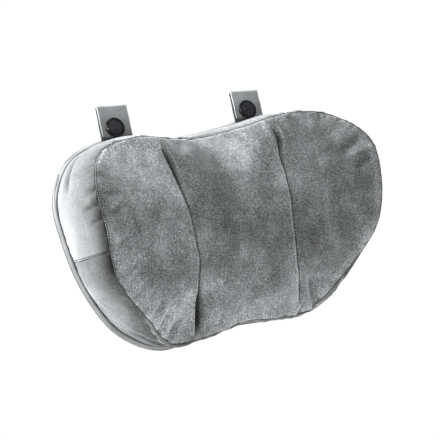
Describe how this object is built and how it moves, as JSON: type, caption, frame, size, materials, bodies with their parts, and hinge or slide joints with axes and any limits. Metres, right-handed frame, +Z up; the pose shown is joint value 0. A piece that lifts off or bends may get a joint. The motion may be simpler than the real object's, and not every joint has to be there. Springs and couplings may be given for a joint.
{
  "type": "lumbar support cushion",
  "caption": "Bow-tie shaped velvet lumbar cushion with a flat zipped back and snap-closed strap loops along its top edge.",
  "frame": {"origin": "middle of the flat back face, at the middle of the cushion's width and of its back panel's height", "axes": "+X to the right when the velvet front is looked at, +Y out of the flat back face, +Z up towards the strap loops"},
  "size_m": [0.2512, 0.0785, 0.1882],
  "materials": {
    "velvet": "crushed grey velvet, short pile with a silvery sheen",
    "backing": "smooth grey microfibre",
    "strap": "smooth grey microfibre band",
    "liner": "plain off-white inner cloth",
    "foam": "open-cell polyurethane foam",
    "zip_tape": "woven grey polyester",
    "zip_coil": "grey nylon coil",
    "zip_metal": "satin plated zinc",
    "snap_cap": "glossy black enamel",
    "snap_metal": "nickel plated"
  },
  "bodies": {
    "cushion": {"foam_core": "foam", "inner_cover_front": "liner", "inner_cover_back": "liner", "front_panel": "velvet", "boxing_upper": "velvet", "boxing_lower": "velvet", "back_panel_upper": "backing", "back_panel_lower": "backing", "zip_tape_upper": "zip_tape", "zip_tape_lower": "zip_tape", "zip_coil": "zip_coil", "zip_top_stop": "zip_metal", "zip_bottom_stop": "zip_metal", "left_strap_tail": "strap", "right_strap_tail": "strap"},
    "zip_slider": {"zip_slider": "zip_metal"},
    "zip_pull": {"zip_pull": "zip_metal"},
    "left_strap": {"left_strap_rear": "strap", "left_snap_stud": "snap_metal", "left_snap_post": "snap_metal"},
    "left_strap_flap": {"left_strap_front": "strap", "left_snap_cap": "snap_cap", "left_snap_socket": "snap_metal"},
    "right_strap": {"right_strap_rear": "strap", "right_snap_stud": "snap_metal", "right_snap_post": "snap_metal"},
    "right_strap_flap": {"right_strap_front": "strap", "right_snap_cap": "snap_cap", "right_snap_socket": "snap_metal"}
  },
  "joints": [
    {"name": "left_strap_seam", "type": "hinge", "parent": "cushion", "child": "left_strap", "pos_m": [-0.0595, -0.00695, 0.081], "axis": [1, 0, 0], "range_deg": [-42, 15], "stiffness_Nm_per_rad": 0.02},
    {"name": "left_strap_open", "type": "hinge", "parent": "left_strap", "child": "left_strap_flap", "pos_m": [-0.0595, -0.00896, 0.10396], "axis": [-1, 0, 0], "range_deg": [0, 150], "stiffness_Nm_per_rad": 0.004},
    {"name": "right_strap_seam", "type": "hinge", "parent": "cushion", "child": "right_strap", "pos_m": [0.0595, -0.00695, 0.081], "axis": [1, 0, 0], "range_deg": [-42, 15], "stiffness_Nm_per_rad": 0.02},
    {"name": "right_strap_open", "type": "hinge", "parent": "right_strap", "child": "right_strap_flap", "pos_m": [0.0595, -0.00896, 0.10396], "axis": [-1, 0, 0], "range_deg": [0, 150], "stiffness_Nm_per_rad": 0.004},
    {"name": "zip_slide", "type": "slide", "parent": "cushion", "child": "zip_slider", "axis": [1, 0, 0], "range_m": [-0.146, 0]},
    {"name": "zip_pull_hinge", "type": "hinge", "parent": "zip_slider", "child": "zip_pull", "pos_m": [0.079, -0.00195, -0.038], "axis": [0, 0, 1], "range_deg": [-120, 0]}
  ]
}
